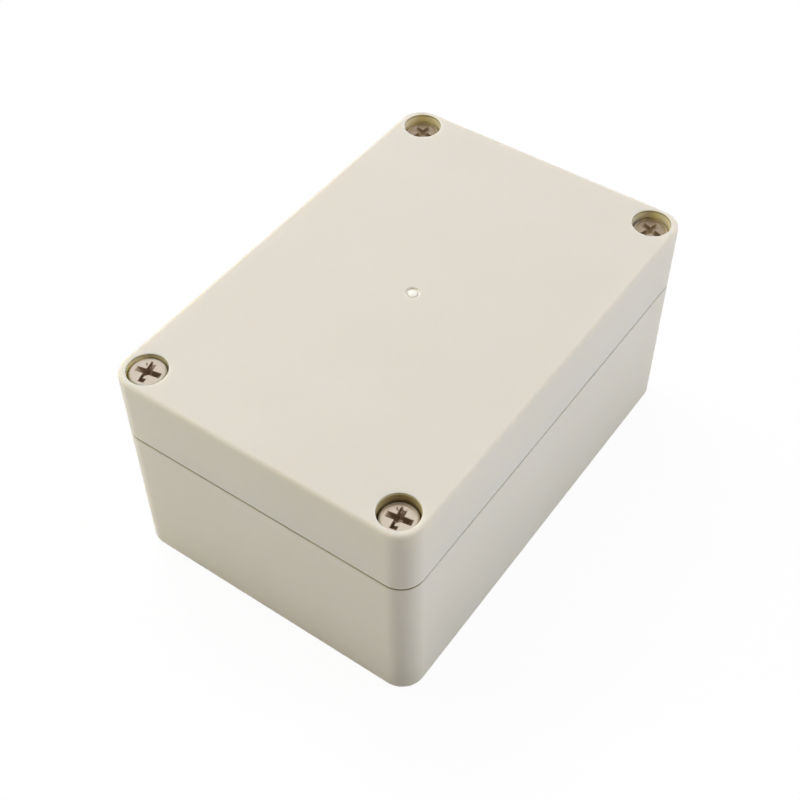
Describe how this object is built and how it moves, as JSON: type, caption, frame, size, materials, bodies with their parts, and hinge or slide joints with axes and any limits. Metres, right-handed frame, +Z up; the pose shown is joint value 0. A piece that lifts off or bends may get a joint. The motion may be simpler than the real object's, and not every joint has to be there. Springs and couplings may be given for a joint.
{
  "type": "plastic project box",
  "caption": "Sealed rectangular ABS enclosure with a screwed lid, rounded corners and recessed corner screws, for housing a small circuit board.",
  "frame": {"origin": "centre of the underside, on the surface that the box stands on", "axes": "+X along the long side, +Y along the short side, +Z up through the lid"},
  "size_m": [0.1, 0.068, 0.05],
  "materials": {
    "abs_base": "moulded ABS, fine matt texture",
    "abs_lid": "moulded ABS, satin",
    "gasket_rubber": "foamed rubber",
    "screw_nickel": "nickel plated steel",
    "insert_brass": "turned brass"
  },
  "bodies": {
    "base": {"base": "abs_base", "thread_insert_1": "insert_brass", "thread_insert_2": "insert_brass", "thread_insert_3": "insert_brass", "thread_insert_4": "insert_brass"},
    "lid": {"lid": "abs_lid", "gasket": "gasket_rubber"},
    "screw_1": {"lid_screw_1": "screw_nickel"},
    "screw_2": {"lid_screw_2": "screw_nickel"},
    "screw_3": {"lid_screw_3": "screw_nickel"},
    "screw_4": {"lid_screw_4": "screw_nickel"}
  },
  "joints": [
    {"name": "lid_lift", "type": "slide", "parent": "base", "child": "lid", "axis": [0, 0, 1], "range_m": [0, 0.06]},
    {"name": "screw_1_travel", "type": "slide", "parent": "lid", "child": "screw_1", "axis": [0, 0, 1], "range_m": [0, 0.0086]},
    {"name": "screw_2_travel", "type": "slide", "parent": "lid", "child": "screw_2", "axis": [0, 0, 1], "range_m": [0, 0.0086]},
    {"name": "screw_3_travel", "type": "slide", "parent": "lid", "child": "screw_3", "axis": [0, 0, 1], "range_m": [0, 0.0086]},
    {"name": "screw_4_travel", "type": "slide", "parent": "lid", "child": "screw_4", "axis": [0, 0, 1], "range_m": [-0.0012, 0.0074]}
  ]
}
